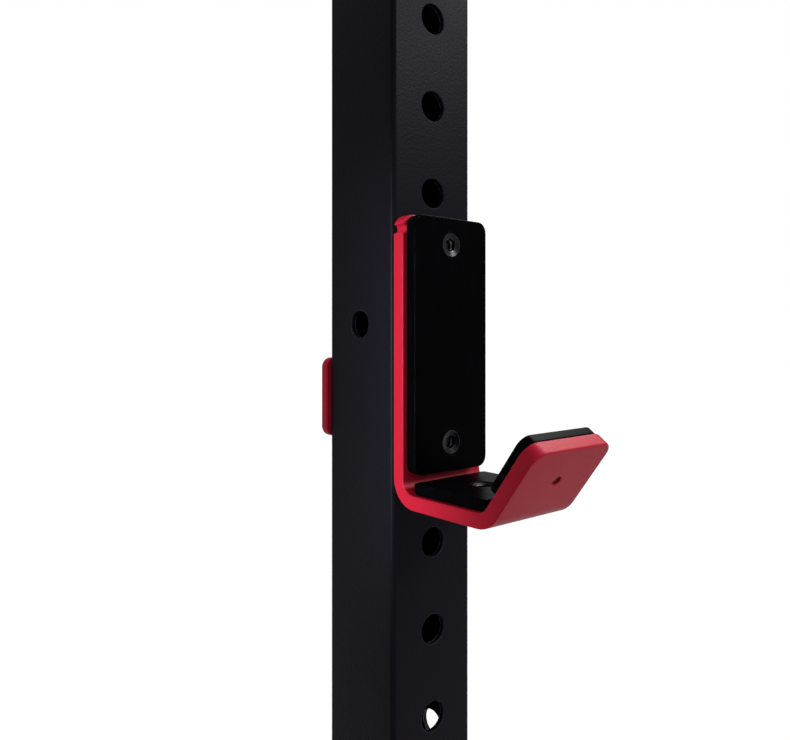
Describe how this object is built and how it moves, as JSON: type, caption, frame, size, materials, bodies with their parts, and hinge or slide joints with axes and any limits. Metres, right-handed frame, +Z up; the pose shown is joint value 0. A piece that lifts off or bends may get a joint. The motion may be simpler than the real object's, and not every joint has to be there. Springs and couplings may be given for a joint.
{
  "type": "power rack",
  "caption": "Free-standing power rack: drilled square uprights on floor runners, tied at the top and rear, with lined pin-hung J-cups and pin-and-pipe safeties.",
  "frame": {"origin": "on the floor, midway between the four uprights", "axes": "+Z up, +X to the rack's right side as seen by someone inside who faces the rear, -Y to its front, where the J-cups hang"},
  "size_m": [1.2316, 1.6086, 2.2043],
  "materials": {
    "black_powder_coat": "satin black powder coat with a fine orange-peel texture",
    "red_powder_coat": "satin red powder coat",
    "liner_plastic": "satin black hard-wearing plastic",
    "plug_plastic": "matt black moulded plastic",
    "foot_rubber": "matt black rubber",
    "black_oxide_screw": "black oxide steel",
    "bright_steel": "bright zinc-plated steel"
  },
  "bodies": {
    "frame": {"upright_front_right": "black_powder_coat", "upright_plug_front_right": "plug_plastic", "runner_plug_front_right": "plug_plastic", "rubber_foot_front_right": "foot_rubber", "upright_front_left": "black_powder_coat", "upright_plug_front_left": "plug_plastic", "runner_plug_front_left": "plug_plastic", "rubber_foot_front_left": "foot_rubber", "upright_rear_right": "black_powder_coat", "upright_plug_rear_right": "plug_plastic", "runner_plug_rear_right": "plug_plastic", "rubber_foot_rear_right": "foot_rubber", "upright_rear_left": "black_powder_coat", "upright_plug_rear_left": "plug_plastic", "runner_plug_rear_left": "plug_plastic", "rubber_foot_rear_left": "foot_rubber", "base_runner_right": "black_powder_coat", "top_rail_right": "black_powder_coat", "base_runner_left": "black_powder_coat", "top_rail_left": "black_powder_coat", "base_crossmember_rear": "black_powder_coat", "top_crossmember_rear": "black_powder_coat", "pull_up_bar": "black_powder_coat"},
    "jcup_right": {"jcup_bar_right": "red_powder_coat", "jcup_wrap_right": "red_powder_coat", "jcup_pin_right": "bright_steel", "jcup_back_liner_right": "liner_plastic", "jcup_shelf_liner_right": "liner_plastic", "jcup_lip_liner_right": "liner_plastic", "jcup_back_upper_screw_right": "black_oxide_screw", "jcup_back_lower_screw_right": "black_oxide_screw", "jcup_shelf_screw_right": "black_oxide_screw", "jcup_lip_screw_right": "black_oxide_screw"},
    "safety_pipe_right": {"safety_pipe_right": "black_powder_coat", "safety_bush_front_right": "liner_plastic", "safety_bush_rear_right": "liner_plastic"},
    "safety_rod_right": {"safety_rod_right": "bright_steel", "safety_grip_right": "foot_rubber"},
    "jcup_left": {"jcup_bar_left": "red_powder_coat", "jcup_wrap_left": "red_powder_coat", "jcup_pin_left": "bright_steel", "jcup_back_liner_left": "liner_plastic", "jcup_shelf_liner_left": "liner_plastic", "jcup_lip_liner_left": "liner_plastic", "jcup_back_upper_screw_left": "black_oxide_screw", "jcup_back_lower_screw_left": "black_oxide_screw", "jcup_shelf_screw_left": "black_oxide_screw", "jcup_lip_screw_left": "black_oxide_screw"},
    "safety_pipe_left": {"safety_pipe_left": "black_powder_coat", "safety_bush_front_left": "liner_plastic", "safety_bush_rear_left": "liner_plastic"},
    "safety_rod_left": {"safety_rod_left": "bright_steel", "safety_grip_left": "foot_rubber"}
  },
  "joints": [
    {"name": "jcup_right_turn", "type": "hinge", "parent": "frame", "child": "jcup_right", "pos_m": [0.58, -0.68, 1.45], "axis": [0, -1, 0], "range_deg": [0, 90]},
    {"name": "jcup_left_turn", "type": "hinge", "parent": "frame", "child": "jcup_left", "pos_m": [-0.58, -0.68, 1.45], "axis": [0, 1, 0], "range_deg": [0, 90]},
    {"name": "safety_right_roll", "type": "hinge", "parent": "frame", "child": "safety_pipe_right", "pos_m": [0.58, 0, 0.6], "axis": [0, 1, 0], "continuous": true},
    {"name": "safety_right_rod_slide", "type": "slide", "parent": "safety_pipe_right", "child": "safety_rod_right", "axis": [0, -1, 0], "range_m": [0, 1.3]},
    {"name": "safety_left_roll", "type": "hinge", "parent": "frame", "child": "safety_pipe_left", "pos_m": [-0.58, 0, 0.6], "axis": [0, 1, 0], "continuous": true},
    {"name": "safety_left_rod_slide", "type": "slide", "parent": "safety_pipe_left", "child": "safety_rod_left", "axis": [0, -1, 0], "range_m": [0, 1.3]}
  ]
}
